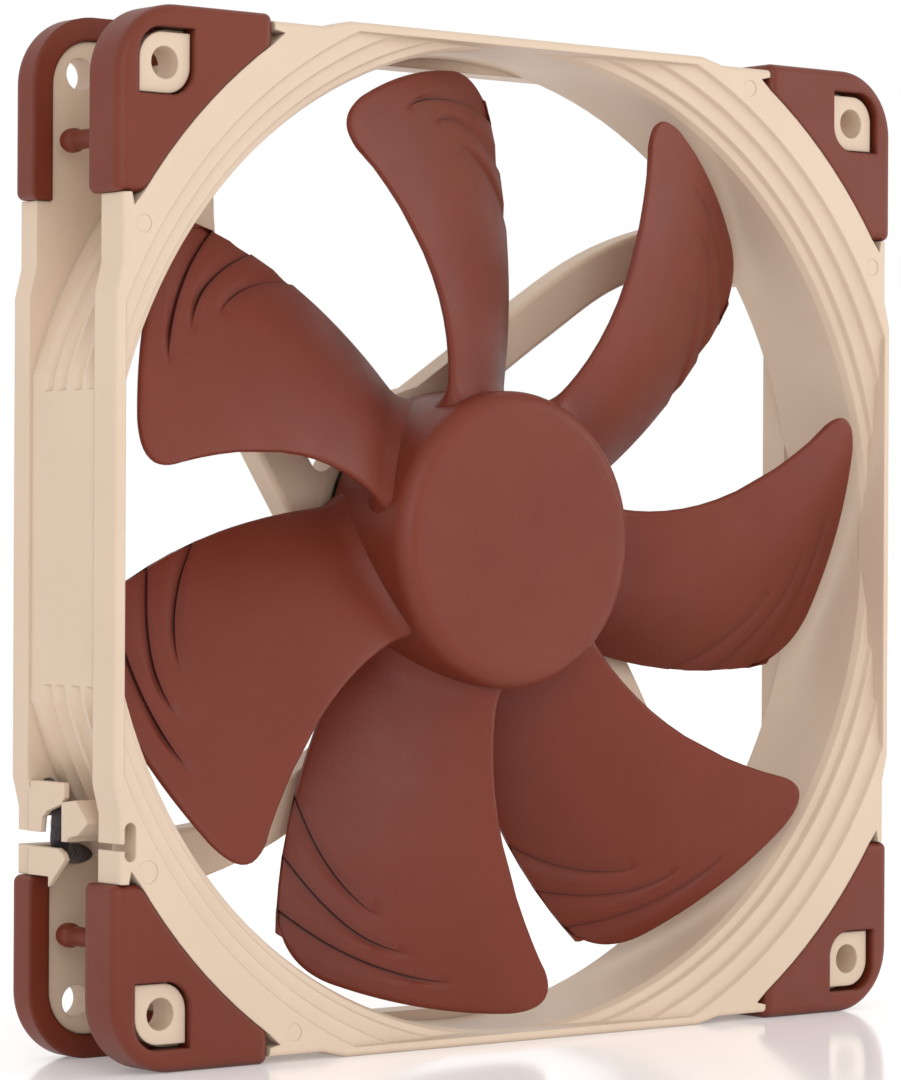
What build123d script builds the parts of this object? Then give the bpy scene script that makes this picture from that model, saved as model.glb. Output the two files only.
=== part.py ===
from build123d import *
import os
from math import atan2, cos, hypot, pi, radians, sin, tan

# 140 mm axial case fan standing on its bottom edge.
# X is to the right, Y along the airflow from intake to outlet, Z up.
# The origin is on the rotor axis, half way through the frame.

os.makedirs("parts", exist_ok=True)

# ---------------------------------------------------------------- driving sizes
half_width = 70.0          # half of the 140 mm square
front_face = -12.5
rear_face = 12.5
hole_offset = 62.25        # half of the 124.5 mm hole spacing
hole_radius = 2.15

throat_radius = 68.8       # the duct round the blades
throat_end = 7.7           # depth where the duct opens out towards the rear
inlet_half_square = 68.7   # the stepped inlet stops at this square
outlet_half_square = 67.2
outlet_radius = 74.2
duct_outer_radius = 72.9
duct_groove_depth = 1.0
panel_half_width = 69.6    # flat side panels between the flanges
panel_half_length = 19.5

front_flange_back = -7.0
rear_flange_front = 8.3
recessed_half_width = 69.0     # the frame's edge beside the corner pads
side_step_start = 32.0
side_step_end = 36.0
flange_round = 0.7

pad_start = 45.0           # the pads cover the corners from here outwards
pad_arc_radius = 80.0      # inner edge of a pad, round the axis
pad_gap = 0.08
pad_corner_radius = 9.5
pad_wall = 3.1
pad_edge_round = 1.3
pad_end_round = 1.0
front_pad_seat = -9.7
rear_pad_seat = 10.1
front_pad_lip_end = -5.6
rear_pad_lip_end = 7.7
plate_corner_radius = 6.4
boss_half = 4.0
boss_height = 1.9
window_half = 4.45
window_shift = 0.2
leaf_round = 3.7
peg_near = 53.0            # peg centre, along the side from the axis
peg_far = 65.4             # peg centre, out from the axis
peg_neck_radius = 1.3
peg_bulb_radius = 1.65
peg_bulb_length = 0.6
peg_hole_radius = 1.4
front_peg_tip = 7.0
rear_peg_tip = 2.6

hub_radius = 20.95
hub_rim_radius = 21.2
hub_front = -10.1
hub_inner_front = -6.9
hub_round = 2.6
hub_rear = 6.5
hub_wall = 1.85
blade_count = 7
blade_tip_radius = 66.5
blade_inner_cut = 19.9
blade_thickness = 1.9

base_radius = 22.2
base_rim_wall = 1.6
base_rim_front = 8.0
base_floor_front = 10.3
label_radius = 19.4
label_thickness = 0.4
gusset_wall = 0.8
clip_depth = 7.5           # the clip grows out of the duct wall
root_round = 2.0           # between the struts and the motor base
mark_depth = 0.06
mark_spots = [                 # mould marks: side, height, radius
    (-66.0, 41.0, 1.2),
    (66.0, 41.0, 1.2),
    (41.0, 66.0, 1.2),
    (-41.0, -66.0, 1.2),
    (-64.9, -43.5, 1.55),
]
strut_front = 8.2
strut_round = 0.7

tube_outer_radius = 4.2
bearing_outer_radius = 3.1
bearing_bore_radius = 1.53
shaft_radius = 1.5

cable_radius = 1.3
cable_clearance = 0.06
floor = -half_width        # the fan stands on its bottom edge
plug_length = 11.5
plug_width = 10.2
plug_height = 6.0


def at_depth(depth):
    """Plane across the airflow at this depth; extruding goes towards the intake."""
    return Plane.XZ.offset(-depth)


def leaf(half, rounding, lean):
    """Square with two opposite corners rounded; lean picks the diagonal."""
    with BuildSketch(Plane.XY, mode=Mode.PRIVATE) as shape:
        Rectangle(2 * half, 2 * half)
        soft = [v for v in shape.vertices() if v.X * v.Y * lean > 0]
        fillet(soft, rounding)
    return shape.sketch


def save(builder, name):
    """Label one finished piece and write it as its own STEP file."""
    builder.part.label = name
    export_step(builder.part, f"parts/{name}.step")


corner_signs = {
    "top_left": (-1, 1),
    "top_right": (1, 1),
    "bottom_left": (-1, -1),
    "bottom_right": (1, -1),
}

# ---------------------------------------------------------------- cable route
# Held stretch: from the circuit board along the lower left strut, through the rear
# flange, in a U round the clip and out through the rear face.
held_points = [
    (-3.6, 10.6, -14.6),
    (-5.5, 10.6, -22.5),
    (-13.5, 10.6, -29.2),
    (-27.0, 10.6, -36.6),
    (-41.0, 10.6, -42.4),
    (-53.0, 10.6, -43.4),
    (-60.2, 10.0, -42.6),
    (-67.3, 5.0, -41.9),
    (-67.3, 4.0, -36.1),
    (-66.9, 7.6, -33.4),
    (-65.9, 12.5, -33.4),
]
# Free stretch: behind the lower left corner down to the floor, then loosely folded there.
lying = floor + cable_radius
free_points = [
    (-65.9, 12.5, -33.4),
    (-65.0, 16.91, -33.4),
    (-59.4, 22.8, -33.8),
    (-51.0, 25.2, -36.8),
    (-47.1, 26.0, -44.5),
    (-46.1, 25.2, -54.0),
    (-43.7, 22.8, -62.0),
    (-38.5, 19.8, -67.6),
    (-31.5, 18.0, lying),
    (-23.0, 17.0, lying),
    (-12.6, 17.1, lying),
    (-6.6, 23.1, lying),
    (-6.6, 31.2, lying),
    (-13.0, 37.2, lying),
    (-20.9, 36.8, lying),
    (-25.2, 35.4, floor + plug_height / 2),
    (-29.4, 35.4, floor + plug_height / 2),
]


def arc_radii(points):
    """Radius of each corner's arc: 0.45 of the shorter run over the half turn's tangent."""
    radii = []
    for before, corner, after in zip(points, points[1:], points[2:]):
        run_in = Vector(*corner) - Vector(*before)
        run_out = Vector(*after) - Vector(*corner)
        turn = radians(run_in.get_angle(run_out))
        radii.append(0.45 * min(run_in.length, run_out.length) / tan(turn / 2))
    return radii


def cable_tube(points, radius):
    """Round tube along straight runs joined by tangent arcs."""
    with BuildPart() as tube:
        with BuildLine() as route:
            FilletPolyline(*points, radius=arc_radii(points))
        start = Vector(*points[0])
        heading = Vector(*points[1]) - start
        with BuildSketch(Plane(origin=start, z_dir=heading)):
            Circle(radius)
        sweep(path=route.wires()[0])
    length = route.wires()[0].length
    print("cable length", round(length, 1), "volume ratio",
          round(tube.part.volume / (pi * radius**2 * length), 4))
    print("radii", [round(r, 1) for r in arc_radii(points)])
    return tube


# ---------------------------------------------------------------- frame
def side_outline():
    """Square whose sides step out a little between the corner pads."""
    Rectangle(2 * recessed_half_width, 2 * recessed_half_width)
    for turn in range(4):
        with Locations(Location((0, 0, 0), (0, 0, 90 * turn))):
            Polygon(
                (recessed_half_width - 1, -side_step_end - 4),
                (recessed_half_width, -side_step_end),
                (half_width, -side_step_start),
                (half_width, side_step_start),
                (recessed_half_width, side_step_end),
                (recessed_half_width - 1, side_step_end + 4),
                align=None,
            )


def corner_squares():
    """Four squares over the corners, from the pads' inner ends outwards."""
    size = half_width + 3 - pad_start
    middle = pad_start + size / 2
    with GridLocations(2 * middle, 2 * middle, 2, 2):
        Rectangle(size, size)


# The stepped inlet: three treads down to the throat.
inlet_steps = [
    (0, front_face - 1),
    (75.6, front_face - 1),
    (75.3, front_face),
    (75.0, -11.7),
    (72.9, -11.4),
    (72.6, -10.4),
    (70.6, -10.1),
    (70.3, -9.1),
    (69.3, -8.8),
    (throat_radius, -7.6),
    (throat_radius, -6.0),
    (0, -6.0),
]
with BuildPart() as inlet_tool:
    with BuildSketch(Plane.XY) as inlet_profile:
        Polygon(*inlet_steps, align=None)
        treads = [v for v in inlet_profile.vertices() if 69 < v.X < 75.2 and v.Y < -7]
        fillet(treads, 0.22)
    revolve(axis=Axis.Y)
    Box(2 * inlet_half_square, 40, 2 * inlet_half_square, mode=Mode.INTERSECT)

with BuildPart() as outlet_tool:
    with BuildSketch(Plane.XY):
        Polygon(
            (0, throat_end),
            (throat_radius, throat_end),
            (outlet_radius, rear_face),
            (outlet_radius + 1, rear_face + 1),
            (0, rear_face + 1),
            align=None,
        )
    revolve(axis=Axis.Y)
    Box(2 * outlet_half_square, 40, 2 * outlet_half_square, mode=Mode.INTERSECT)

# One strut as seen from the intake, from the motor base up to the right.
strut_upper = [(-9.5, 18.5), (4.4, 27.4), (16.1, 34.9), (26.8, 41.3), (40.5, 46.5), (54.0, 48.8)]
strut_lower = [
    (60.0, 38.8),
    (46.4, 39.8),
    (36.9, 38.5),
    (30.2, 35.7),
    (23.5, 31.6),
    (16.6, 27.2),
    (4.8, 19.0),
]
with BuildSketch(Plane.XY) as strut_plan:
    with BuildLine():
        Spline(*strut_upper)
        Line(strut_upper[-1], strut_lower[0])
        Spline(*strut_lower)
        Line(strut_lower[-1], strut_upper[0])
    make_face()
with BuildPart() as strut_tool:
    with BuildSketch(at_depth(rear_face)):
        add(strut_plan.sketch)
    extrude(amount=rear_face - strut_front)
    front_rim = strut_tool.faces().sort_by(Axis.Y)[0].edges().sort_by(SortBy.LENGTH)[-2:]
    fillet(front_rim, strut_round)
# Rounded corners that widen the struts where they meet the motor base.
with BuildSketch(Plane.XY) as root_plan:
    Circle(base_radius)
    for turn in range(4):
        with Locations(Location((0, 0, 0), (0, 0, 90 * turn))):
            add(strut_plan.sketch)
    on_base = [v for v in root_plan.vertices() if abs(hypot(v.X, v.Y) - base_radius) < 0.01]
    fillet([v for v in on_base if atan2(v.Y, v.X) % (pi / 2) > pi / 4], root_round)
    Circle(base_radius + 4.5, mode=Mode.INTERSECT)

cable_space = cable_tube(held_points, cable_radius + cable_clearance)

with BuildPart() as frame:
    with BuildSketch(at_depth(front_flange_back)):
        side_outline()
    extrude(amount=front_flange_back - front_face)
    fillet(frame.faces().sort_by(Axis.Y)[0].edges(), flange_round)
    with BuildSketch(at_depth(rear_face)):
        side_outline()
    extrude(amount=rear_face - rear_flange_front)
    fillet(frame.faces().sort_by(Axis.Y)[-1].edges(), flange_round)

    # duct wall with grooves round its outside
    with BuildSketch(Plane.XY):
        with Locations(((60 + duct_outer_radius) / 2, (front_flange_back + rear_flange_front) / 2)):
            Rectangle(duct_outer_radius - 60, rear_flange_front - front_flange_back)
        for groove_depth in (-5.9, -2.4, 1.3, 4.3):
            with Locations((duct_outer_radius + 0.45, groove_depth)):
                Circle(0.45 + duct_groove_depth, mode=Mode.SUBTRACT)
    revolve(axis=Axis.Y)
    # flat side panels
    gap_middle = (front_flange_back + rear_flange_front) / 2
    gap_depth = rear_flange_front - front_flange_back
    with Locations((0, gap_middle, 0)):
        Box(2 * panel_half_width, gap_depth, 2 * panel_half_length)
        Box(2 * panel_half_length, gap_depth, 2 * panel_half_width)
    with BuildSketch(at_depth(rear_flange_front)):
        Rectangle(2 * duct_outer_radius + 4, 2 * duct_outer_radius + 4)
        Rectangle(2 * panel_half_width, 2 * panel_half_width, mode=Mode.SUBTRACT)
    extrude(amount=gap_depth, mode=Mode.SUBTRACT)

    # duct, inlet steps and flared outlet
    with BuildSketch(at_depth(throat_end)):
        Circle(throat_radius)
    extrude(amount=throat_end + 7, mode=Mode.SUBTRACT)
    add(inlet_tool.part, mode=Mode.SUBTRACT)
    add(outlet_tool.part, mode=Mode.SUBTRACT)

    # pad seats: thinner plate, set in from the outside, with a leaf-shaped boss
    for seat, outside in ((front_pad_seat, front_face), (rear_pad_seat, rear_face)):
        with BuildSketch(at_depth(max(seat, outside))):
            corner_squares()
            Circle(pad_arc_radius - pad_gap, mode=Mode.SUBTRACT)
        extrude(amount=abs(outside - seat), mode=Mode.SUBTRACT)
    for inner, outside in ((front_flange_back, front_face), (rear_flange_front, rear_face)):
        with BuildSketch(at_depth(max(inner, outside))):
            corner_squares()
            RectangleRounded(
                2 * (half_width - pad_wall - pad_gap),
                2 * (half_width - pad_wall - pad_gap),
                plate_corner_radius,
                mode=Mode.SUBTRACT,
            )
        extrude(amount=abs(outside - inner), mode=Mode.SUBTRACT)
    for seat, top in (
        (front_pad_seat, front_pad_seat - boss_height),
        (rear_pad_seat, rear_pad_seat + boss_height),
    ):
        with BuildSketch(at_depth(max(seat, top))):
            for sign_x, sign_z in corner_signs.values():
                with Locations((sign_x * hole_offset, sign_z * hole_offset)):
                    add(leaf(boss_half, leaf_round, sign_x * sign_z))
        extrude(amount=boss_height)
    # small triangular notches where each pad's arc ends
    for seat, outside in ((front_pad_seat, front_face), (rear_pad_seat, rear_face)):
        with BuildSketch(at_depth(max(seat, outside))):
            for sign_x, sign_z in corner_signs.values():
                for swap in (False, True):
                    notch = [(66.0, 45.1), (67.5, 43.3), (67.9, 45.1)]
                    if swap:
                        notch = [(z, x) for x, z in notch]
                    Polygon(*[(sign_x * x, sign_z * z) for x, z in notch], align=None)
        extrude(amount=abs(outside - seat), mode=Mode.SUBTRACT)
    # screw holes and peg holes
    with BuildSketch(at_depth(rear_face)):
        with GridLocations(2 * hole_offset, 2 * hole_offset, 2, 2):
            Circle(hole_radius)
    extrude(amount=rear_face - front_face, mode=Mode.SUBTRACT)
    with BuildSketch(at_depth(front_flange_back)):
        with GridLocations(2 * peg_far, 2 * peg_near, 2, 2):
            Circle(peg_hole_radius)
    extrude(amount=front_flange_back - front_pad_seat, mode=Mode.SUBTRACT)
    with BuildSketch(at_depth(rear_pad_seat)):
        with GridLocations(2 * peg_near, 2 * peg_far, 2, 2):
            Circle(peg_hole_radius)
    extrude(amount=rear_pad_seat - rear_flange_front, mode=Mode.SUBTRACT)

    # struts and the motor base
    for turn in range(4):
        with Locations(Location((0, 0, 0), (0, 90 * turn, 0))):
            add(strut_tool.part)
    with BuildSketch(at_depth(rear_face)):
        add(root_plan.sketch)
    extrude(amount=rear_face - strut_front)
    with BuildSketch(at_depth(rear_face)):
        Circle(base_radius)
    extrude(amount=rear_face - base_rim_front)
    with BuildSketch(at_depth(base_floor_front)):
        Circle(base_radius - base_rim_wall)
    extrude(amount=base_floor_front - base_rim_front + 2, mode=Mode.SUBTRACT)
    with BuildSketch(at_depth(rear_face)):
        Circle(label_radius)
    extrude(amount=label_thickness, mode=Mode.SUBTRACT)
    with BuildSketch(at_depth(rear_face)):
        Circle(tube_outer_radius)
    extrude(amount=rear_face - base_rim_front, mode=Mode.SUBTRACT)

    # shallow round mould marks on the front, beside the pads
    with BuildSketch(at_depth(front_face + mark_depth)):
        for mark_x, mark_z, mark_radius in mark_spots:
            with Locations((mark_x, mark_z)):
                Circle(mark_radius)
    extrude(amount=0.5, mode=Mode.SUBTRACT)

    # thin side webs above and below the cable notch, in (depth, height)
    with BuildSketch(Plane.YZ.offset(-panel_half_width)):
        Polygon(
            (0.1, -32.3),
            (rear_flange_front + 0.5, -32.3),
            (rear_flange_front + 0.5, -39.1),
            (5.7, -39.1),
            (5.4, -37.1),
            (4.2, -36.2),
            (1.0, -35.2),
            (0.1, -34.3),
            align=None,
        )
        Polygon(
            (rear_flange_front + 0.5, -41.05),
            (1.8, -41.05),
            (0.5, -41.6),
            (-0.1, -42.5),
            (3.9, -46.3),
            (3.9, -44.9),
            (rear_flange_front + 0.5, -44.9),
            align=None,
        )
    extrude(amount=gusset_wall)
    # the clip that the cable bends round, grown out of the duct wall
    with BuildSketch(Plane.YZ.offset(-panel_half_width)):
        Polygon(
            (0.8, -34.9),
            (-2.6, -34.5),
            (-5.1, -37.0),
            (-5.3, -37.5),
            (-3.0, -39.1),
            (-1.0, -39.5),
            (-0.3, -40.1),
            (0.8, -40.1),
            align=None,
        )
    extrude(amount=clip_depth)
    # the notch in the rear flange, higher behind the web, and the slit and slot in the front one
    with Locations((-68.0, rear_face, -40.08)):
        Box(12.0, 9.0, 1.94, mode=Mode.SUBTRACT)
    with Locations((-66.2, rear_face, -39.1)):
        Box(5.2, 9.0, 3.9, mode=Mode.SUBTRACT)
    with BuildSketch(at_depth(front_flange_back + 0.5)):
        with Locations((-69.5, -40.2)):
            Rectangle(3.0, 0.9)
        with Locations((-67.67, -39.5)):
            SlotOverall(5.1, 1.7, rotation=90)
    extrude(amount=8, mode=Mode.SUBTRACT)
    # cable channel along the lower left strut, open to the rear
    with BuildSketch(at_depth(rear_face)):
        with BuildLine():
            Polyline(*[(x, z) for x, y, z in held_points[:7]])
        trace(line_width=2 * (cable_radius + cable_clearance))
    extrude(amount=rear_face - held_points[0][1], mode=Mode.SUBTRACT)
    add(cable_space.part, mode=Mode.SUBTRACT)
    # flared mouth where the cable leaves the rear face
    with BuildSketch(at_depth(rear_face)):
        with Locations((held_points[-1][0], held_points[-1][2])):
            Circle(cable_radius + 0.9)
    extrude(amount=1.0, taper=30, mode=Mode.SUBTRACT)

save(frame, "frame")


# ---------------------------------------------------------------- corner pads
def pad(sign_x, sign_z, front):
    """Soft corner pad: face plate, wrap-round wall, leaf window and retaining peg."""
    outside = front_face if front else rear_face
    seat = front_pad_seat if front else rear_pad_seat
    lip_end = front_pad_lip_end if front else rear_pad_lip_end
    tip = front_peg_tip if front else rear_peg_tip
    peg_x = sign_x * (peg_far if front else peg_near)
    peg_z = sign_z * (peg_near if front else peg_far)
    size = half_width - pad_start - pad_gap
    middle = half_width - size / 2
    back = 1 if front else -1
    with BuildPart() as piece:
        with BuildSketch(at_depth(max(outside, lip_end))) as plan:
            with Locations((sign_x * middle, sign_z * middle)):
                Rectangle(size, size)
            Circle(pad_arc_radius, mode=Mode.SUBTRACT)
            far_corner = plan.vertices().sort_by_distance((sign_x * 200, sign_z * 200, 0))[0]
            fillet(far_corner, pad_corner_radius)
            on_side = [v for v in plan.vertices() if max(abs(v.X), abs(v.Y)) > half_width - 0.01]
            ends = [v for v in on_side if min(abs(v.X), abs(v.Y)) < pad_start + 0.2]
            fillet(ends, pad_end_round)
        extrude(amount=abs(lip_end - outside))
        inner = 2 * (half_width - pad_wall)
        with BuildSketch(at_depth(max(seat, lip_end))):
            RectangleRounded(inner, inner, plate_corner_radius)
        extrude(amount=abs(lip_end - seat), mode=Mode.SUBTRACT)
        face_edges = piece.faces().filter_by(Axis.Y).sort_by(Axis.Y)[0 if front else -1].edges()
        outer_edges = [e for e in face_edges if hypot((e @ 0.5).X, (e @ 0.5).Z) > pad_arc_radius + 2]
        fillet(outer_edges, pad_edge_round)
        with BuildSketch(at_depth(max(outside, seat))):
            window = hole_offset + window_shift
            with Locations((sign_x * window, sign_z * window)):
                add(leaf(window_half, leaf_round, sign_x * sign_z))
        extrude(amount=abs(seat - outside), mode=Mode.SUBTRACT)
        # peg with a bulb at its free end
        neck_end = tip - back * peg_bulb_radius
        with BuildSketch(at_depth(max(seat - back * 0.5, neck_end))):
            with Locations((peg_x, peg_z)):
                Circle(peg_neck_radius)
        extrude(amount=abs(neck_end - seat + back * 0.5))
        bulb_start = neck_end - back * peg_bulb_length
        with BuildSketch(at_depth(max(bulb_start, neck_end))):
            with Locations((peg_x, peg_z)):
                Circle(peg_bulb_radius)
        extrude(amount=abs(neck_end - bulb_start))
        with Locations((peg_x, neck_end, peg_z)):
            Sphere(peg_bulb_radius)
        with Locations((peg_x, bulb_start, peg_z)):
            Sphere(peg_bulb_radius)
    return piece


for corner, (sign_x, sign_z) in corner_signs.items():
    save(pad(sign_x, sign_z, True), f"pad_front_{corner}")
    save(pad(sign_x, sign_z, False), f"pad_rear_{corner}")


# ---------------------------------------------------------------- impeller
def cubic(coefficients, span):
    """Blade edge coordinate at this distance out along the blade."""
    reach = (span - 20) / 46
    return sum(c * reach**power for power, c in enumerate(coefficients))


# Edges of the upright blade: sideways place and depth, from root to tip.
lead_side = (-9.3, -3.4, -29.2, -8.2)
lead_depth = (-5.4, -10.1, 4.8, -2.5)
trail_side = (9.1, 6.8, -10.2, -2.1)
trail_depth = (6.2, -1.2, 1.0, -1.7)
blade_camber = 0.44
blade_spans = (17.5, 30, 42, 54, 68)
chord_stations = (0.0, 0.18, 0.5, 0.82, 1.0)
half_thickness = (0.35, 0.85, 0.95, 0.7, 0.3)


def section_sides(span):
    """Points of the intake side and of the outlet side, across the blade at this span."""
    lead = Vector(cubic(lead_side, span), cubic(lead_depth, span))
    chord = Vector(cubic(trail_side, span), cubic(trail_depth, span)) - lead
    front_side = []
    rear_side = []
    for s, half in zip(chord_stations, half_thickness):
        rise = s + blade_camber * s * (s - 1)
        slope = 1 + blade_camber * (2 * s - 1)
        along = Vector(chord.X, chord.Y * slope).normalized()
        across = Vector(along.Y, -along.X) * half * blade_thickness / 1.9
        middle = lead + Vector(chord.X * s, chord.Y * rise)
        front_side.append(middle + across)
        rear_side.append(middle - across)
    return front_side, rear_side


with BuildPart() as blade_planform:
    with BuildSketch(at_depth(10)) as planform:
        lead_edge = [(cubic(lead_side, h) - 0.8, h) for h in (12, 25, 38, 48, 56.5)]
        trail_edge = [(cubic(trail_side, h) + 0.8, h) for h in (66.0, 52, 38, 25, 12)]
        lead_tip = Vector(lead_edge[-1]).normalized() * blade_tip_radius
        trail_tip = Vector(trail_edge[0]).normalized() * blade_tip_radius
        middle_tip = (lead_tip + trail_tip).normalized() * blade_tip_radius
        with BuildLine():
            Spline(*lead_edge[:-1], lead_tip)
            ThreePointArc(lead_tip, middle_tip, trail_tip)
            Spline(trail_tip, *trail_edge[1:])
            Line(trail_edge[-1], lead_edge[0])
        make_face()
        tips = planform.vertices().sort_by(Axis.Y)[-2:]
        fillet(tips, 5.5)
    extrude(amount=25)

with BuildPart() as blade_tool:
    for span in blade_spans:
        front_side, rear_side = section_sides(span)
        with BuildSketch(Plane.XY.offset(span)):
            with BuildLine():
                Spline(*front_side)
                Line(front_side[-1], rear_side[-1])
                Spline(*reversed(rear_side))
                Line(rear_side[0], front_side[0])
            make_face()
    loft()
    add(blade_planform.part, mode=Mode.INTERSECT)
    with BuildSketch(at_depth(15)):
        Circle(blade_inner_cut)
    extrude(amount=30, mode=Mode.SUBTRACT)

with BuildPart() as impeller:
    with BuildSketch(Plane.XY):
        Polygon(
            (0, hub_front),
            (hub_radius, hub_front),
            (hub_rim_radius, hub_rear),
            (hub_rim_radius - hub_wall, hub_rear),
            (hub_radius - hub_wall, hub_inner_front),
            (0, hub_inner_front),
            align=None,
        )
    revolve(axis=Axis.Y)
    fillet(impeller.edges().group_by(Axis.Y)[0], hub_round)
    for number in range(blade_count):
        with Locations(Location((0, 0, 0), (0, number * 360 / blade_count, 0))):
            add(blade_tool.part)

save(impeller, "impeller")


# ---------------------------------------------------------------- rotor inside the hub
def turned(profile, name):
    """Piece turned round the rotor axis from (radius, depth) corners."""
    with BuildPart() as piece:
        with BuildSketch(Plane.XY):
            Polygon(*profile, align=None)
        revolve(axis=Axis.Y)
    save(piece, name)
    return piece


yoke_outer = 18.95
yoke_inner = 18.1
yoke_front = -6.8
yoke_plate = -6.0
turned(
    [
        (2.6, yoke_front),
        (yoke_outer, yoke_front),
        (yoke_outer, 5.8),
        (yoke_inner, 5.8),
        (yoke_inner, yoke_plate),
        (2.6, yoke_plate),
    ],
    "rotor_yoke",
)
turned([(16.0, -3.6), (18.05, -3.6), (18.05, 5.4), (16.0, 5.4)], "rotor_magnet")
turned(
    [
        (shaft_radius, -6.85),
        (2.55, -6.85),
        (2.55, -5.95),
        (4.4, -5.95),
        (4.4, -5.2),
        (3.0, -4.6),
        (shaft_radius, -4.6),
    ],
    "shaft_insert",
)
with BuildPart() as rotor_shaft:
    with BuildSketch(Plane.XY):
        Polygon(
            (0, -6.85),
            (shaft_radius, -6.85),
            (shaft_radius, 9.2),
            (1.1, 9.3),
            (1.1, 9.9),
            (shaft_radius, 10.0),
            (1.2, 10.5),
            (0, 10.7),
            align=None,
        )
    revolve(axis=Axis.Y)
save(rotor_shaft, "rotor_shaft")
turned([(shaft_radius, -4.4), (2.6, -4.4), (3.0, -3.8), (shaft_radius, -3.8)], "oil_seal_ring")

# ---------------------------------------------------------------- bearing in the motor base
turned(
    [
        (bearing_outer_radius, -3.4),
        (tube_outer_radius, -3.4),
        (tube_outer_radius, 12.0),
        (2.3, 12.0),
        (2.3, 11.7),
        (bearing_outer_radius, 11.7),
    ],
    "bearing_tube",
)
turned(
    [
        (bearing_bore_radius, -2.8),
        (bearing_outer_radius, -2.8),
        (bearing_outer_radius, 8.6),
        (bearing_bore_radius, 8.6),
    ],
    "sleeve_bearing",
)
with BuildPart() as retaining_clip:
    with BuildSketch(at_depth(9.85)):
        Circle(2.7)
        Circle(1.2, mode=Mode.SUBTRACT)
        with Locations((0, -2.4)):
            Rectangle(1.0, 3.0, mode=Mode.SUBTRACT)
    extrude(amount=0.5)
save(retaining_clip, "shaft_retaining_clip")
turned([(0, 11.0), (3.05, 11.0), (3.05, 11.4), (0, 11.4)], "thrust_plate")
turned([(0, 11.45), (2.25, 11.45), (2.25, 12.05), (0, 12.05)], "bearing_cap")

# ---------------------------------------------------------------- stator
stator_front = -2.6
stator_rear = 4.4
pole_reach = 14.9
pole_root = 6.3
pole_width = 3.4
pole_shoe = 1.8
pole_gap = 3.2


def pole_outline(bore, arm_extra):
    """Hub ring with four arms."""
    Circle(pole_root + arm_extra)
    Rectangle(2 * pole_reach - 3, pole_width + 2 * arm_extra)
    Rectangle(pole_width + 2 * arm_extra, 2 * pole_reach - 3)
    Circle(bore, mode=Mode.SUBTRACT)


with BuildPart() as stator_core:
    with BuildSketch(at_depth(stator_rear)):
        Circle(pole_reach)
        Circle(pole_reach - pole_shoe, mode=Mode.SUBTRACT)
        with PolarLocations(pole_reach - pole_shoe / 2, 4, start_angle=45):
            Rectangle(2 * pole_shoe, pole_gap, mode=Mode.SUBTRACT)
        pole_outline(tube_outer_radius + 0.05, 0)
    extrude(amount=stator_rear - stator_front)
save(stator_core, "stator_core")


def insulator(near, far, name):
    """Plastic bobbin half on one end of the core."""
    with BuildPart() as half:
        with BuildSketch(at_depth(max(near, far))):
            pole_outline(tube_outer_radius + 0.1, 0.45)
        extrude(amount=abs(far - near))
        with BuildSketch(at_depth(max(near, far))):
            Circle(pole_reach - 0.6)
            Circle(pole_reach - 1.6, mode=Mode.SUBTRACT)
            Rectangle(30, 9, mode=Mode.SUBTRACT, align=(Align.CENTER, Align.CENTER))
            Rectangle(9, 30, mode=Mode.SUBTRACT, align=(Align.CENTER, Align.CENTER))
        extrude(amount=abs(far - near))
        with BuildSketch(at_depth(max(near, far))):
            with PolarLocations(pole_reach - 1.1, 4):
                Rectangle(1.0, 9.2)
        extrude(amount=abs(far - near))
    save(half, name)


insulator(stator_front, stator_front - 0.9, "stator_insulator_front")
insulator(stator_rear, stator_rear + 0.9, "stator_insulator_rear")

with BuildPart() as stator_coils:
    with BuildSketch(at_depth(stator_rear + 2.0)):
        with PolarLocations(9.7, 4):
            Rectangle(5.4, 8.0)
    extrude(amount=stator_rear - stator_front + 4.0)
    fillet(stator_coils.edges().filter_by(Axis.Y), 0.8)
    with BuildSketch(at_depth(stator_rear + 0.95)):
        with PolarLocations(9.7, 4):
            Rectangle(7, pole_width + 1.0)
    extrude(amount=stator_rear - stator_front + 1.9, mode=Mode.SUBTRACT)
save(stator_coils, "stator_coils")

# ---------------------------------------------------------------- circuit board
board_radius = 19.6
board_front = 7.9
board_rear = 9.0
pin_circle = 6.0
pin_radius = 0.35
with BuildPart() as circuit_board:
    with BuildSketch(at_depth(board_rear)):
        Circle(board_radius)
        Circle(tube_outer_radius + 0.6, mode=Mode.SUBTRACT)
        with Locations((-5.0, -18.6)):
            Rectangle(7.0, 3.4, mode=Mode.SUBTRACT)
        with PolarLocations(pin_circle, 4, start_angle=45):
            Circle(pin_radius + 0.05, mode=Mode.SUBTRACT)
    extrude(amount=board_rear - board_front)
save(circuit_board, "circuit_board")

with BuildPart() as winding_pins:
    with BuildSketch(at_depth(board_rear + 0.6)):
        with PolarLocations(pin_circle, 4, start_angle=45):
            Circle(pin_radius)
    extrude(amount=board_rear + 0.6 - stator_rear - 0.9)
save(winding_pins, "winding_pins")

with BuildPart() as hall_sensor:
    with Locations((11.4, board_front - 0.6, 11.4)):
        Box(3.0, 1.2, 3.0)
save(hall_sensor, "hall_sensor")

with BuildPart() as driver_chip:
    with Locations((-12.0, board_rear + 0.55, 6.0)):
        Box(5.0, 1.1, 4.0)
    for pin_row in (-1, 1):
        for pin in range(4):
            with Locations((-12.0 - 1.9 + pin * 1.27, board_rear + 0.2, 6.0 + pin_row * 2.4)):
                Box(0.4, 0.4, 0.9)
save(driver_chip, "driver_chip")

with BuildPart() as board_components:
    for angle in (10, 35, 80, 110, 200, 320, 340):
        place = (12.5 * cos(radians(angle)), board_rear + 0.35, 12.5 * sin(radians(angle)))
        with Locations(Location(place, (0, -angle, 0))):
            Box(1.2, 0.7, 2.0)
save(board_components, "board_components")

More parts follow.
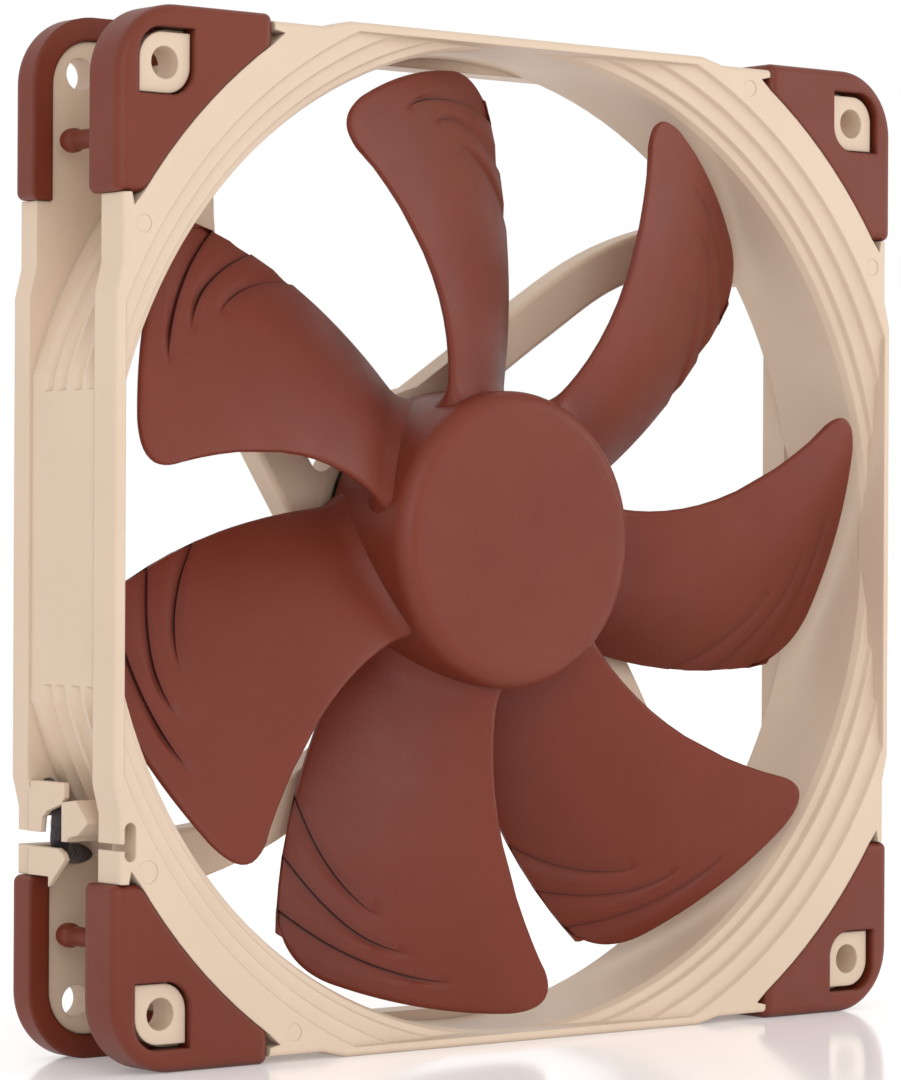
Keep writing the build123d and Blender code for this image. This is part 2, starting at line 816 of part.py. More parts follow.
with BuildPart() as hub_label_disc:
    with BuildSketch(at_depth(rear_face)):
        Circle(label_radius - 0.1)
    extrude(amount=label_thickness - 0.05)
save(hub_label_disc, "hub_label_disc")

# ---------------------------------------------------------------- cable and plug
cable_held = cable_tube(held_points, cable_radius)
save(cable_held, "cable_held")
cable_free = cable_tube(free_points, cable_radius)
save(cable_free, "cable_free")

# The plug lies on the floor at the cable's end, its two ribs upwards, open to -X.
contact_pitch = 2.54
cable_end_x, cable_end_y, cable_end_z = free_points[-1]
plug_x = cable_end_x - plug_length / 2
with BuildPart() as connector_housing:
    with Locations((plug_x, cable_end_y, cable_end_z)):
        Box(plug_length, plug_width, plug_height)
    fillet(connector_housing.edges().filter_by(Axis.X), 0.5)
    with Locations((cable_end_x - plug_length, cable_end_y, cable_end_z)):
        with GridLocations(1, contact_pitch, 1, 4):
            Box(2 * plug_length - 4, 1.5, 1.9, mode=Mode.SUBTRACT)
    with Locations((plug_x - 1.5, cable_end_y, floor + plug_height + 0.4)):
        with GridLocations(1, 2 * contact_pitch, 1, 2):
            Box(plug_length - 3, 0.8, 0.8)
save(connector_housing, "connector_housing")

with BuildPart() as connector_terminals:
    with Locations((plug_x - 1.0, cable_end_y, cable_end_z)):
        with GridLocations(1, contact_pitch, 1, 4):
            Box(8.0, 1.3, 1.7)
            Box(8.4, 0.8, 1.0, mode=Mode.SUBTRACT)
save(connector_terminals, "connector_terminals")
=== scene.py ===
from math import atan2, cos, hypot, pi, radians, sin

import bpy
from mathutils import Matrix, Vector


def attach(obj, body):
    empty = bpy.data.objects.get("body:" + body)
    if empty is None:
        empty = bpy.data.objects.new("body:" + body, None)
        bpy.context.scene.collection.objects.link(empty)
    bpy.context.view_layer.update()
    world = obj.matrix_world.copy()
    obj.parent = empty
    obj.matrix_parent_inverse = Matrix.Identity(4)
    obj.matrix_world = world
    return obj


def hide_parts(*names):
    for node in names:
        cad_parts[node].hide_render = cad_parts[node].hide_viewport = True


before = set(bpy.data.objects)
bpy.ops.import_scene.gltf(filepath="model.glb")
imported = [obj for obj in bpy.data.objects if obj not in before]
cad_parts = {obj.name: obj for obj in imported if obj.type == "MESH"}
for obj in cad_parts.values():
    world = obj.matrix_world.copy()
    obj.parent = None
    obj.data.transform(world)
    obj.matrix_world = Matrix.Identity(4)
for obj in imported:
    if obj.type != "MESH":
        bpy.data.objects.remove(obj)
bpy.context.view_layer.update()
MM = 0.001

# ---------------------------------------------------------------- camera
# Level with the rotor, 0.6 m away, turned 39 degrees to the left of the rotor axis.
camera_data = bpy.data.cameras.new("camera")
camera = bpy.data.objects.new("camera", camera_data)
bpy.context.scene.collection.objects.link(camera)
bpy.context.scene.camera = camera
camera_data.sensor_fit = "AUTO"
camera_data.sensor_width = 36.0
camera_data.lens = 141.47
camera_data.clip_start = 0.01
camera_data.clip_end = 20.0
camera_yaw = radians(-38.786)
camera_pitch = radians(-0.048)
camera_roll = radians(0.287)
camera.matrix_world = (
    Matrix.Translation(Vector((-0.38055, -0.46783, 0.00044)))
    @ Matrix.Rotation(camera_yaw, 4, "Z")
    @ Matrix.Rotation(pi / 2 + camera_pitch, 4, "X")
    @ Matrix.Rotation(camera_roll, 4, "Z")
)

# ---------------------------------------------------------------- cable route, in millimetres
FLOOR = -70.0
CABLE_RADIUS = 1.3
LYING = FLOOR + CABLE_RADIUS
PLUG_CENTRE = FLOOR + 3.0
FREE_POINTS = [
    (-65.9, 12.5, -33.4),
    (-65.0, 16.91, -33.4),
    (-59.4, 22.8, -33.8),
    (-51.0, 25.2, -36.8),
    (-47.1, 26.0, -44.5),
    (-46.1, 25.2, -54.0),
    (-43.7, 22.8, -62.0),
    (-38.5, 19.8, -67.6),
    (-31.5, 18.0, LYING),
    (-23.0, 17.0, LYING),
    (-12.6, 17.1, LYING),
    (-6.6, 23.1, LYING),
    (-6.6, 31.2, LYING),
    (-13.0, 37.2, LYING),
    (-20.9, 36.8, LYING),
    (-25.2, 35.4, PLUG_CENTRE),
    (-29.4, 35.4, PLUG_CENTRE),
]


def cable_curve(name, points):
    """Round tube on a quadratic NURBS curve whose control points are the cable's route."""
    data = bpy.data.curves.new(name, "CURVE")
    data.dimensions = "3D"
    spline = data.splines.new("NURBS")
    spline.points.add(len(points) - 1)
    for point, place in zip(spline.points, points):
        point.co = (place[0] * MM, place[1] * MM, place[2] * MM, 1.0)
    spline.order_u = 3
    spline.use_endpoint_u = True
    spline.resolution_u = 16
    data.bevel_depth = CABLE_RADIUS * MM
    data.bevel_resolution = 6
    data.use_fill_caps = True
    curve = bpy.data.objects.new(name, data)
    bpy.context.scene.collection.objects.link(curve)
    return curve


# ---------------------------------------------------------------- helpers
def linear(channel):
    """sRGB 0..255 to a linear shader value."""
    c = channel / 255.0
    return c / 12.92 if c <= 0.04045 else ((c + 0.055) / 1.055) ** 2.4


def colour(r, g, b):
    """sRGB 0..255 to a linear RGBA colour."""
    return (linear(r), linear(g), linear(b), 1.0)


def mesh_object(name, vertices, faces):
    """Smooth-shaded mesh object from millimetre vertices."""
    mesh = bpy.data.meshes.new(name)
    mesh.from_pydata([(x * MM, y * MM, z * MM) for x, y, z in vertices], [], faces)
    mesh.validate()
    mesh.update()
    mesh.shade_smooth()
    made = bpy.data.objects.new(name, mesh)
    bpy.context.scene.collection.objects.link(made)
    return made


class Nodes:
    """Builds one node material, with its noise in the object's own coordinates."""

    def __init__(self, name):
        self.material = bpy.data.materials.new(name)
        self.material.use_nodes = True
        self.tree = self.material.node_tree
        self.shader = self.tree.nodes["Principled BSDF"]
        self.position = self.add("ShaderNodeTexCoord").outputs["Object"]

    def add(self, kind, **settings):
        node = self.tree.nodes.new(kind)
        for key, value in settings.items():
            setattr(node, key, value)
        return node

    def link(self, source, target):
        self.tree.links.new(source, target)

    def noise(self, scale, detail=3.0, roughness=0.55):
        node = self.add("ShaderNodeTexNoise")
        node.inputs["Scale"].default_value = scale
        node.inputs["Detail"].default_value = detail
        node.inputs["Roughness"].default_value = roughness
        self.link(self.position, node.inputs["Vector"])
        return node.outputs["Fac"]

    def spread(self, value, low, high):
        """Stretches a noise's middle range to low..high."""
        node = self.add("ShaderNodeMapRange")
        node.inputs["From Min"].default_value = 0.3
        node.inputs["From Max"].default_value = 0.7
        node.inputs["To Min"].default_value = low
        node.inputs["To Max"].default_value = high
        self.link(value, node.inputs["Value"])
        return node.outputs["Result"]

    def mix(self, factor, first, second):
        """Mixes two colours, each a tuple or a socket."""
        node = self.add("ShaderNodeMix", data_type="RGBA")
        self.link(factor, node.inputs["Factor"])
        for value, socket in ((first, node.inputs[6]), (second, node.inputs[7])):
            if isinstance(value, tuple):
                socket.default_value = value
            else:
                self.link(value, socket)
        return node.outputs[2]

    def bump(self, height, strength, distance, normal=None):
        node = self.add("ShaderNodeBump")
        node.inputs["Strength"].default_value = strength
        node.inputs["Distance"].default_value = distance
        self.link(height, node.inputs["Height"])
        if normal:
            self.link(normal, node.inputs["Normal"])
        return node.outputs["Normal"]

    def paint_crease_shade(self, colour_in, reach, depth):
        """Painted shade: darkens the colour towards black in tight corners and steps."""
        node = self.add("ShaderNodeAmbientOcclusion")
        node.samples = 8
        node.inputs["Distance"].default_value = reach
        dark = self.add("ShaderNodeMapRange")
        dark.inputs["From Min"].default_value = 0.25
        dark.inputs["From Max"].default_value = 0.85
        dark.inputs["To Min"].default_value = depth
        dark.inputs["To Max"].default_value = 0.0
        self.link(node.outputs["AO"], dark.inputs["Value"])
        return self.mix(dark.outputs["Result"], colour_in, (0.0, 0.0, 0.0, 1.0))

    def soft_edges(self, radius):
        """Normals that make sharp edges look rounded."""
        node = self.add("ShaderNodeBevel")
        node.samples = 6
        node.inputs["Radius"].default_value = radius
        return node.outputs["Normal"]


# Noise cells per metre, and lengths in metres.
TONE_SCALE = 55.0
GLOSS_SCALE = 140.0
GRAIN_SCALE = 2600.0
GRAIN_HEIGHT = 0.00006
# how far the painted shade in tight corners reaches
CREASE_SHADE_REACH = 0.0012


def moulded(
    name, base, worn, roughness, grain, edge, crease_shade=0.0, coat=0.0, metallic=0.0, specular=0.4,
    line=None,
):
    """Moulded or worked surface: two close tones, uneven gloss, fine grain, softened edges.

    Painted shade: the crease amount darkens the colour in tight corners; the line colour is painted
    shade, laid where a mesh attribute marks the channel steps.
    """
    n = Nodes(name)
    tone = n.spread(n.noise(TONE_SCALE, 4.0), 0.0, 1.0)
    surface = n.mix(tone, base, worn)
    # painted shade: the colour darkens in tight corners
    if crease_shade:
        surface = n.paint_crease_shade(surface, CREASE_SHADE_REACH, crease_shade)
    # painted shade line at the blade's channel steps, laid by the mesh attribute
    if line:
        shade_line_mask = n.add("ShaderNodeAttribute", attribute_name="crease_shade")
        surface = n.mix(shade_line_mask.outputs["Fac"], surface, line)
    n.link(surface, n.shader.inputs["Base Color"])
    gloss = n.spread(n.noise(GLOSS_SCALE, 3.0), roughness - 0.05, roughness + 0.05)
    n.link(gloss, n.shader.inputs["Roughness"])
    normal = n.soft_edges(edge) if edge else None
    normal = n.bump(n.noise(GRAIN_SCALE, 2.0, 0.6), grain, GRAIN_HEIGHT, normal)
    n.link(normal, n.shader.inputs["Normal"])
    n.shader.inputs["Metallic"].default_value = metallic
    n.shader.inputs["Coat Weight"].default_value = coat
    n.shader.inputs["Specular IOR Level"].default_value = specular
    n.shader.inputs["IOR"].default_value = 1.48
    return n


def sleeved(name, base, worn):
    """Sleeve of fine strands: small raised cells in an uneven dark tone."""
    n = Nodes(name)
    uneven = n.noise(900.0, 2.0)
    strands = n.add("ShaderNodeTexVoronoi")
    strands.inputs["Scale"].default_value = 1500.0
    n.link(n.position, strands.inputs["Vector"])
    n.link(n.mix(n.spread(uneven, 0.0, 1.0), base, worn), n.shader.inputs["Base Color"])
    n.link(n.spread(uneven, 0.45, 0.6), n.shader.inputs["Roughness"])
    n.link(n.bump(strands.outputs["Distance"], 0.6, 0.0002), n.shader.inputs["Normal"])
    n.shader.inputs["Sheen Weight"].default_value = 0.15
    return n


def dress(node, made):
    """Gives a CAD node this material."""
    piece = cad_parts[node]
    piece.data.materials.clear()
    piece.data.materials.append(made.material)


# ---------------------------------------------------------------- materials
# Each plastic's crease amount is painted shade in its tight corners.
frame_plastic = moulded(
    "frame_plastic", colour(215, 193, 171), colour(210, 188, 166), 0.44, 0.12, 0.00035,
    crease_shade=0.2, specular=0.35,
)
# The blade's line colour is painted shade at the foot of each channel step.
blade_plastic = moulded(
    "blade_plastic", colour(116, 50, 35), colour(110, 46, 32), 0.46, 0.55, 0.0,
    crease_shade=0.55, specular=0.3, line=colour(58, 20, 15),
)
pad_rubber = moulded(
    "pad_rubber", colour(113, 47, 28), colour(106, 42, 25), 0.44, 0.22, 0.0008,
    crease_shade=0.35, specular=0.35,
)
cable_sleeve = sleeved("cable_sleeve", colour(40, 28, 36), colour(20, 14, 18))
black_plastic = moulded(
    "black_plastic", colour(34, 33, 36), colour(28, 27, 30), 0.35, 0.1, 0.0002
)
white_plastic = moulded(
    "white_plastic", colour(226, 222, 210), colour(215, 209, 196), 0.45, 0.1, 0.0001
)
steel = moulded(
    "steel", colour(176, 176, 174), colour(160, 160, 158), 0.32, 0.1, 0.0001, metallic=1.0
)
shaft_steel = moulded(
    "shaft_steel", colour(206, 206, 206), colour(196, 196, 198), 0.16, 0.03, 0.0, metallic=1.0
)
brass = moulded("brass", colour(214, 178, 104), colour(196, 158, 84), 0.3, 0.08, 0.0001, metallic=1.0)
bronze = moulded("bronze", colour(172, 124, 78), colour(148, 102, 62), 0.5, 0.4, 0.0, metallic=1.0)
copper = moulded("copper", colour(196, 108, 62), colour(170, 84, 44), 0.3, 0.2, 0.0001, metallic=1.0)
laminations = moulded(
    "laminations", colour(120, 120, 120), colour(100, 98, 96), 0.4, 0.3, 0.0001, metallic=1.0
)
magnet = moulded("magnet", colour(58, 56, 55), colour(48, 46, 45), 0.6, 0.4, 0.0001)
board = moulded("board", colour(28, 92, 60), colour(22, 80, 52), 0.3, 0.1, 0.0001, coat=0.4)
ceramic = moulded("ceramic", colour(160, 128, 96), colour(140, 108, 80), 0.5, 0.2, 0.0001)
tin = moulded("tin", colour(206, 204, 196), colour(186, 184, 176), 0.3, 0.1, 0.0, metallic=1.0)
foil = moulded("foil", colour(134, 108, 92), colour(128, 102, 86), 0.35, 0.05, 0.0, coat=0.3)

dress("frame", frame_plastic)
for side in ("front", "rear"):
    for corner in ("top_left", "top_right", "bottom_left", "bottom_right"):
        dress(f"pad_{side}_{corner}", pad_rubber)
for node, made in {
    "cable_held": cable_sleeve,
    "rotor_yoke": steel,
    "rotor_magnet": magnet,
    "shaft_insert": brass,
    "rotor_shaft": shaft_steel,
    "oil_seal_ring": black_plastic,
    "shaft_retaining_clip": white_plastic,
    "bearing_tube": brass,
    "sleeve_bearing": bronze,
    "thrust_plate": white_plastic,
    "bearing_cap": black_plastic,
    "stator_core": laminations,
    "stator_insulator_front": white_plastic,
    "stator_insulator_rear": white_plastic,
    "stator_coils": copper,
    "winding_pins": tin,
    "circuit_board": board,
    "hall_sensor": black_plastic,
    "driver_chip": black_plastic,
    "board_components": ceramic,
    "hub_label_disc": foil,
    "connector_housing": black_plastic,
    "connector_terminals": tin,
}.items():
    dress(node, made)

# ---------------------------------------------------------------- free cable
cable = cable_curve("cable_loose", FREE_POINTS)
cable.data.materials.append(cable_sleeve.material)
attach(cable, "frame_body")
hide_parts("cable_free")

# ---------------------------------------------------------------- impeller, in millimetres
# Every blade is the upright one turned about the rotor axis. A place on it is given by side
# (to the right), depth (along the axis) and span (upwards). Its edges are cubics of the
# reach, which runs from 0 at the root to 1 at the tip.
BLADES = 7
BLADE_START = 20.0
BLADE_LENGTH = 46.0
TIP_RADIUS = 66.5
LEAD_SIDE = (-9.3, -3.4, -29.2, -8.2)
LEAD_DEPTH = (-5.4, -10.1, 4.8, -2.5)
TRAIL_SIDE = (9.1, 6.8, -10.2, -2.1)
TRAIL_DEPTH = (6.2, -1.2, 1.0, -1.7)
CAMBER = 0.44

# Length of each tip corner's rounding, along the blade's edge and along the tip.
LEAD_CORNER = (6.6, 7.8)
TRAIL_CORNER = (7.4, 7.3)

ROOT_HALF = 0.95                # half of the blade's thickness at the root
TIP_THINNING = 0.3              # how much less it is at the tip
EDGE_HALF = 0.05                # what is left of it at the very edge
ROOT_REACH = 24.4               # the blades swell below this distance from the axis
ROOT_FILLET = 2.0
HUB_SIDE = 20.4
REAR_LIMIT = 6.45               # the blades' rear sides stop here, in front of the hub's rear edge,
REAR_LIMIT_REACH = 24.0         # below this distance from the axis

# Each flow channel: the radius of its inner step and of its outer crest, across the blade
# from the leading edge (0) to the trailing edge (1), and where across it the channel begins.
CHANNELS = [
    (
        [(0.0, 50.0), (0.3, 52.5), (0.6, 55.4), (0.72, 53.9), (0.86, 50.2), (1.0, 45.1)],
        [(0.0, 50.6), (0.3, 53.1), (0.6, 55.9), (0.72, 55.3), (0.86, 52.8), (1.0, 48.9)],
        0.58,
    ),
    (
        [(0.0, 53.4), (0.3, 57.0), (0.5, 59.3), (0.66, 59.0), (0.8, 57.1), (1.0, 53.1)],
        [(0.0, 53.9), (0.3, 57.6), (0.5, 59.9), (0.66, 60.1), (0.8, 59.3), (1.0, 57.0)],
        0.48,
    ),
    (
        [(0.0, 56.4), (0.2, 60.4), (0.36, 62.2), (0.55, 62.4), (0.78, 61.6), (1.0, 60.0)],
        [(0.0, 57.0), (0.2, 61.2), (0.36, 62.8), (0.55, 63.5), (0.78, 64.0), (1.0, 63.0)],
        0.34,
    ),
]
CHANNEL_DEPTH = 0.45
CHANNEL_FADE = 0.2              # a channel deepens over this share of the blade's width

# The mesh: columns across the blade, and the radii of the plain rows below the channels.
# Between BEND_START and FIRST_CHANNEL the rows bend over to the first channel's shape.
COLUMNS = 61
PLAIN_ROWS = (
    19.6, 20.4, 20.8, 21.2, 21.7, 22.3, 23.0, 23.8, 25.2, 27.4, 30.0, 33.0, 36.0, 39.0, 42.0
)
BEND_START = 36.0
FIRST_CHANNEL = 48.0
AROUND = 180                    # steps round the hub


def cubic(coefficients, span):
    reach = (span - BLADE_START) / BLADE_LENGTH
    return sum(c * reach**power for power, c in enumerate(coefficients))


def blade_depth(side, span):
    """Depth of the blade's middle surface at this place of the upright blade."""
    low, high = cubic(LEAD_SIDE, span), cubic(TRAIL_SIDE, span)
    s = (side - low) / (high - low)
    s = min(max(s, -0.12), 1.05)
    low, high = cubic(LEAD_DEPTH, span), cubic(TRAIL_DEPTH, span)
    return low + (high - low) * (s + CAMBER * s * (s - 1.0))


def edge_point(sides, radius):
    """Point of a blade edge at this distance from the axis, found by halving."""
    low, high = 8.0, 75.0
    for step in range(40):
        middle = (low + high) / 2
        if hypot(cubic(sides, middle), middle) < radius:
            low = middle
        else:
            high = middle
    return Vector((cubic(sides, low), low))


def through(points, s):
    """Smooth value at s through (s, value) points."""
    for number in range(len(points) - 1):
        if s <= points[number + 1][0] or number == len(points) - 2:
            break
    (s1, v1), (s2, v2) = points[number], points[number + 1]
    s0, v0 = points[number - 1] if number > 0 else (2 * s1 - s2, 2 * v1 - v2)
    s3, v3 = points[number + 2] if number + 2 < len(points) else (2 * s2 - s1, 2 * v2 - v1)
    m1 = (v2 - v0) / (s2 - s0) * (s2 - s1)
    m2 = (v3 - v1) / (s3 - s1) * (s2 - s1)
    t = (s - s1) / (s2 - s1)
    h00, h10 = 2 * t**3 - 3 * t**2 + 1, t**3 - 2 * t**2 + t
    h01, h11 = -2 * t**3 + 3 * t**2, t**3 - t**2
    return h00 * v1 + h10 * m1 + h01 * v2 + h11 * m2


def ease(x):
    x = min(max(x, 0.0), 1.0)
    return x * x * (3 - 2 * x)


def on_tip(angle):
    """Point of the tip circle at this angle to the right of upright."""
    return Vector((TIP_RADIUS * sin(angle), TIP_RADIUS * cos(angle)))


def rounded_corner(start, corner, end, steps=16):
    """Points of a quadratic curve that rounds off a corner."""
    shares = [step / steps for step in range(steps + 1)]
    return [start * (1 - q) ** 2 + corner * 2 * q * (1 - q) + end * q * q for q in shares]


def evenly_spaced(points, count):
    """This many points at equal distances along a line of points."""
    lengths = [0.0]
    for a, b in zip(points, points[1:]):
        lengths.append(lengths[-1] + (b - a).length)
    even = []
    place = 0
    for i in range(count):
        goal = lengths[-1] * i / (count - 1)
        while place < len(points) - 2 and lengths[place + 1] < goal:
            place += 1
        share = (goal - lengths[place]) / (lengths[place + 1] - lengths[place])
        even.append(points[place].lerp(points[place + 1], min(max(share, 0.0), 1.0)))
    return even


def tip_outline():
    """The blade's outer end, from the leading edge round both corners to the trailing edge."""
    lead = edge_point(LEAD_SIDE, TIP_RADIUS)
    trail = edge_point(TRAIL_SIDE, TIP_RADIUS)
    start = edge_point(LEAD_SIDE, TIP_RADIUS - LEAD_CORNER[0])
    end = edge_point(TRAIL_SIDE, TIP_RADIUS - TRAIL_CORNER[0])
    first = atan2(lead.x, lead.y) + LEAD_CORNER[1] / TIP_RADIUS
    last = atan2(trail.x, trail.y) - TRAIL_CORNER[1] / TIP_RADIUS
    points = rounded_corner(start, lead, on_tip(first))[:-1]
    points += [on_tip(first + (last - first) * i / 20) for i in range(20)]
    points += rounded_corner(on_tip(last), trail, end)
    return evenly_spaced(points, COLUMNS)


def column_share(column):
    """Place across the blade; the columns crowd a little at the two edges."""
    t = column / (COLUMNS - 1)
    return 0.5 * t + 0.5 * (0.5 - 0.5 * cos(pi * t))


def root_swell(radius):
    """Extra size of the blade where it runs into the hub."""
    return ROOT_FILLET * max(0.0, (ROOT_REACH - radius) / (ROOT_REACH - HUB_SIDE)) ** 2.2


def row_points(radius_at):
    """Points across the blade, each at its own distance from the axis."""
    points = []
    for column in range(COLUMNS):
        s = column_share(column)
        radius = radius_at(s)
        lead, trail = edge_point(LEAD_SIDE, radius), edge_point(TRAIL_SIDE, radius)
        spill = root_swell(radius) / radius
        lead_angle = Vector((1.0, 0.0)).angle(lead) + 0.4 * spill
        trail_angle = Vector((1.0, 0.0)).angle(trail) - spill
        angle = lead_angle + (trail_angle - lead_angle) * s
        points.append(Vector((radius * cos(angle), radius * sin(angle))))
    return points


def plain_row_radius(radius, s):
    """Radius of a plain row, bent towards the first channel's shape further out."""
    bend = ease((radius - BEND_START) / (FIRST_CHANNEL - BEND_START))
    return radius + bend * (through(CHANNELS[0][0], s) - FIRST_CHANNEL) * 0.8


def blade_rows():
    """Rows of (points, share of the channel's depth, line shade) from root to tip."""
    flat = [0.0] * COLUMNS
    rows = [
        (row_points(lambda s, radius=radius: plain_row_radius(radius, s)), flat, flat)
        for radius in PLAIN_ROWS
    ]
    previous = rows[-1][0]
    between = (0.4, 0.75)
    for step, crest, begin in CHANNELS:
        fade = [ease((column_share(c) - begin) / CHANNEL_FADE) for c in range(COLUMNS)]
        step_row = row_points(lambda s: through(step, s))
        for share in between:
            rows.append(([a.lerp(b, share) for a, b in zip(previous, step_row)], flat, flat))
        rows.append((step_row, flat, [0.3 * f for f in fade]))
        # the step drops steeply, and its foot carries a painted shade line
        for gap, sink, shade in ((0.1, 1.0, 1.0), (0.24, 1.0, 0.9), (0.4, 0.97, 0.0)):
            row = row_points(lambda s, gap=gap: through(step, s) + gap)
            rows.append((row, [sink * f for f in fade], [shade * f for f in fade]))
        foot_row = rows[-1][0]
        crest_row = row_points(lambda s: max(through(crest, s), through(step, s) + 0.8))
        for share in (0.35, 0.7):
            middle = [a.lerp(b, share) for a, b in zip(foot_row, crest_row)]
            rows.append((middle, [f * (1.0 - share**1.3) for f in fade], flat))
        rows.append((crest_row, flat, flat))
        previous = crest_row
        between = (0.34, 0.67)
    tip = tip_outline()
    for share in (0.25, 0.5, 0.72, 0.84, 0.92, 0.97, 1.0):
        rows.append(([a.lerp(b, share) for a, b in zip(previous, tip)], flat, flat))
    return rows


def surface_normal(side, span):
    """Unit normal of the blade's middle surface, towards the intake."""
    e = 0.2
    slope_side = (blade_depth(side + e, span) - blade_depth(side - e, span)) / (2 * e)
    slope_span = (blade_depth(side, span + e) - blade_depth(side, span - e)) / (2 * e)
    return Vector((slope_side, -1.0, slope_span)).normalized()


def half_thickness(radius, s, to_edge):
    """Half of the blade's thickness, rounded off near its edges."""
    half = ROOT_HALF - TIP_THINNING * (radius - BLADE_START) / BLADE_LENGTH
    half *= 0.55 + 0.45 * (4 * s * (1 - s)) ** 0.5
    half += root_swell(radius)
    share = min(to_edge / half, 1.0)
    return EDGE_HALF + (half - EDGE_HALF) * (1 - (1 - share) ** 2) ** 0.5


def upright_blade():
    """Vertices and faces of the upright blade, and the line shade at each vertex."""
    rows = blade_rows()
    rim = rows[-1][0]
    front, rear, shades = [], [], []
    for points, sinks, row_shades in rows:
        chord = (points[-1] - points[0]).length
        for column, (point, sink, shade) in enumerate(zip(points, sinks, row_shades)):
            s = column_share(column)
            side, span = point
            radius = hypot(side, span)
            near_rim = rim[max(0, column - 3):column + 4]
            to_edge = min(min(s, 1 - s) * chord * 1.25, min((point - q).length for q in near_rim))
            half = half_thickness(radius, s, to_edge)
            normal = surface_normal(side, span)
            place = Vector((side, blade_depth(side, span), span))
            front.append(place + normal * (half - sink * CHANNEL_DEPTH))
            back = place - normal * half
            if radius < REAR_LIMIT_REACH:
                back.y = min(back.y, REAR_LIMIT)
            rear.append(back)
            shades.append(shade)
    total = len(front)
    last = len(rows) - 1
    faces = []
    for r in range(last):
        for c in range(COLUMNS - 1):
            a, b = r * COLUMNS + c, r * COLUMNS + c + 1
            d, e = a + COLUMNS, b + COLUMNS
            faces.append((a, b, e, d))
            faces.append((total + a, total + d, total + e, total + b))
    # the border, once round, joins the front to the rear
    border = [(0, c) for c in range(COLUMNS)]
    border += [(r, COLUMNS - 1) for r in range(1, last + 1)]
    border += [(last, c) for c in range(COLUMNS - 2, -1, -1)]
    border += [(r, 0) for r in range(last - 1, 0, -1)]
    for (r1, c1), (r2, c2) in zip(border, border[1:] + border[:1]):
        a, b = r1 * COLUMNS + c1, r2 * COLUMNS + c2
        faces.append((b, a, total + a, total + b))
    return [tuple(v) for v in front + rear], faces, shades + [0.0] * total


# Hub cup: (radius, depth) profile turned round the rotor axis, from the middle of its front
# over the rounded edge and down the slightly tapered side, then back along the inside.
HUB_FRONT = -10.1
HUB_RADIUS = 20.95
HUB_ROUND = 2.6
HUB_PROFILE = [(radius, HUB_FRONT) for radius in (0.0, 1.0, 7.0, 13.0, 17.0)]
HUB_PROFILE += [
    (
        HUB_RADIUS - HUB_ROUND + HUB_ROUND * sin(radians(turn)),
        HUB_FRONT + HUB_ROUND - HUB_ROUND * cos(radians(turn)),
    )
    for turn in range(0, 91, 10)
]
HUB_PROFILE += [
    (20.98, -4.0),
    (21.05, 0.0),
    (21.12, 3.5),
    (21.2, 6.35),
    (21.1, 6.5),
    (19.5, 6.5),
    (19.35, 6.4),
    (19.25, 0.0),
    (19.1, -6.8),
    (19.0, -6.9),
    (0.0, -6.9),
]


def turned_mesh(profile, around):
    """Vertices and faces of a profile turned round the rotor axis."""
    vertices, faces, rings = [], [], []
    for radius, depth in profile:
        if radius == 0.0:
            rings.append([len(vertices)] * around)
            vertices.append((0.0, depth, 0.0))
        else:
            first = len(vertices)
            rings.append([first + i for i in range(around)])
            for i in range(around):
                angle = 2 * pi * i / around
                vertices.append((radius * sin(angle), depth, radius * cos(angle)))
    for near, far in zip(rings, rings[1:]):
        for i in range(around):
            j = (i + 1) % around
            corners = tuple(dict.fromkeys((near[i], near[j], far[j], far[i])))
            if len(corners) > 2:
                faces.append(corners)
    return vertices, faces


vertices, faces = turned_mesh(HUB_PROFILE, AROUND)
shades = [0.0] * len(vertices)
blade_vertices, blade_faces, blade_shades = upright_blade()
for number in range(BLADES):
    angle = number * 2 * pi / BLADES
    base = len(vertices)
    for x, y, z in blade_vertices:
        vertices.append((x * cos(angle) + z * sin(angle), y, z * cos(angle) - x * sin(angle)))
    faces += [tuple(base + i for i in face) for face in blade_faces]
    shades += blade_shades

impeller = mesh_object("impeller_moulding", vertices, faces)
# each vertex's painted shade line at the channel steps
crease_shade = impeller.data.attributes.new("crease_shade", "FLOAT", "POINT")
crease_shade.data.foreach_set("value", shades)
impeller.data.materials.append(blade_plastic.material)
impeller.data.set_sharp_from_angle(angle=radians(38))
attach(impeller, "rotor")
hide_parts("impeller")

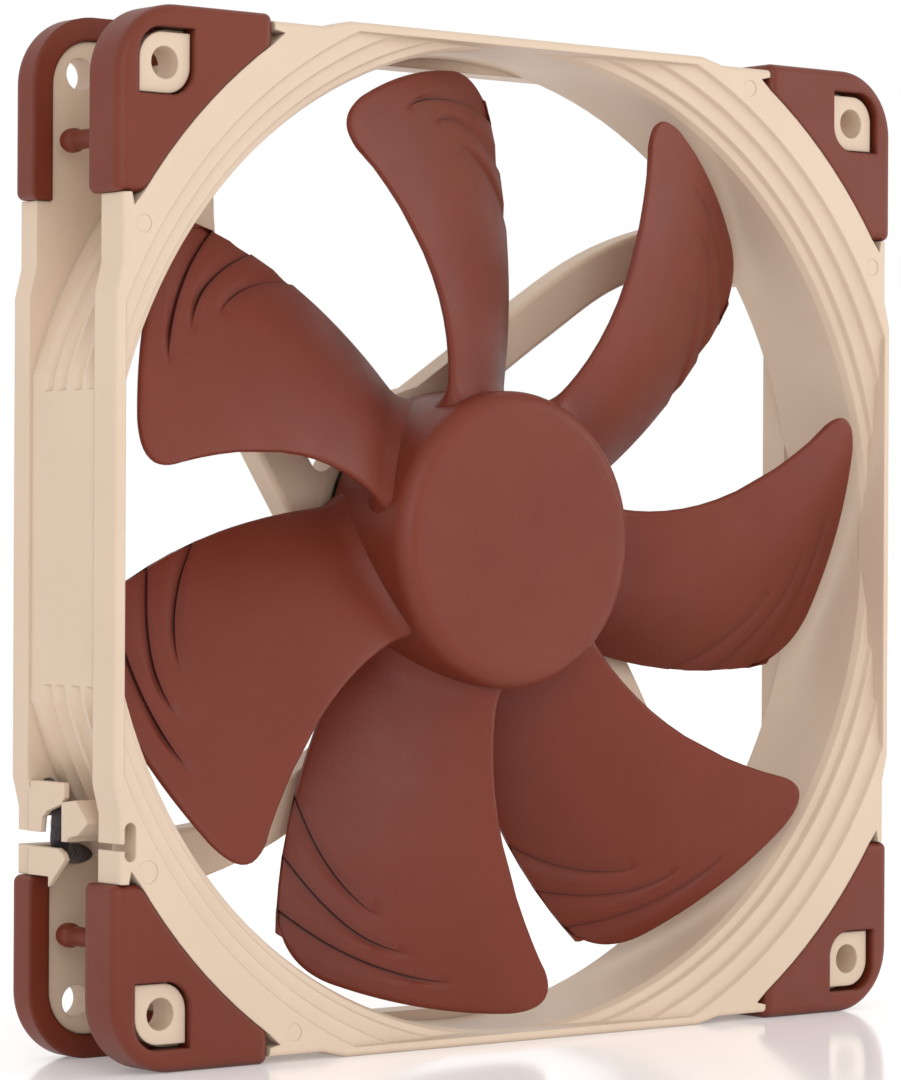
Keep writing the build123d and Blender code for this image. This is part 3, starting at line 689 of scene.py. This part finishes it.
# ---------------------------------------------------------------- floor and light
bpy.ops.mesh.primitive_plane_add(size=8.0, location=(0.0, 0.0, FLOOR * MM))
floor = bpy.context.object
floor.name = "floor"
floor_gloss = Nodes("floor_gloss")
floor_tone = floor_gloss.mix(floor_gloss.noise(3.0), colour(250, 250, 251), colour(247, 247, 249))
floor_gloss.link(floor_tone, floor_gloss.shader.inputs["Base Color"])
floor_gloss.shader.inputs["Roughness"].default_value = 0.12
floor_gloss.shader.inputs["Emission Color"].default_value = (1.0, 0.97, 0.97, 1.0)
floor_gloss.shader.inputs["Emission Strength"].default_value = 0.2
floor_gloss.shader.inputs["Specular IOR Level"].default_value = 0.5
floor.data.materials.append(floor_gloss.material)

# The background is plain white to the camera and a little dimmer and warmer as light.
world = bpy.data.worlds.new("studio")
bpy.context.scene.world = world
world.use_nodes = True
sky = world.node_tree
for old in list(sky.nodes):
    sky.nodes.remove(old)
backdrop = sky.nodes.new("ShaderNodeBackground")
backdrop.inputs["Color"].default_value = (1.0, 1.0, 1.0, 1.0)
backdrop.inputs["Strength"].default_value = 1.0
surround = sky.nodes.new("ShaderNodeBackground")
surround.inputs["Color"].default_value = (1.0, 0.985, 0.97, 1.0)
surround.inputs["Strength"].default_value = 0.9
light_path = sky.nodes.new("ShaderNodeLightPath")
choose = sky.nodes.new("ShaderNodeMixShader")
output = sky.nodes.new("ShaderNodeOutputWorld")
sky.links.new(light_path.outputs["Is Camera Ray"], choose.inputs["Fac"])
sky.links.new(surround.outputs["Background"], choose.inputs[1])
sky.links.new(backdrop.outputs["Background"], choose.inputs[2])
sky.links.new(choose.outputs["Shader"], output.inputs["Surface"])


def area_light(name, place, size, power):
    """Soft rectangular light that faces the rotor's centre."""
    data = bpy.data.lights.new(name, "AREA")
    data.shape = "RECTANGLE"
    data.size, data.size_y = size
    data.energy = power
    light = bpy.data.objects.new(name, data)
    bpy.context.scene.collection.objects.link(light)
    light.location = place
    light.rotation_euler = (-Vector(place)).to_track_quat("-Z", "Y").to_euler()


area_light("key", (-0.45, -0.85, 0.3), (0.6, 0.6), 2.4)
area_light("side", (0.8, -0.5, 0.1), (0.5, 0.8), 2.2)
area_light("left", (-0.9, -0.15, 0.1), (0.5, 0.8), 0.6)

bpy.context.scene.view_settings.view_transform = "Standard"
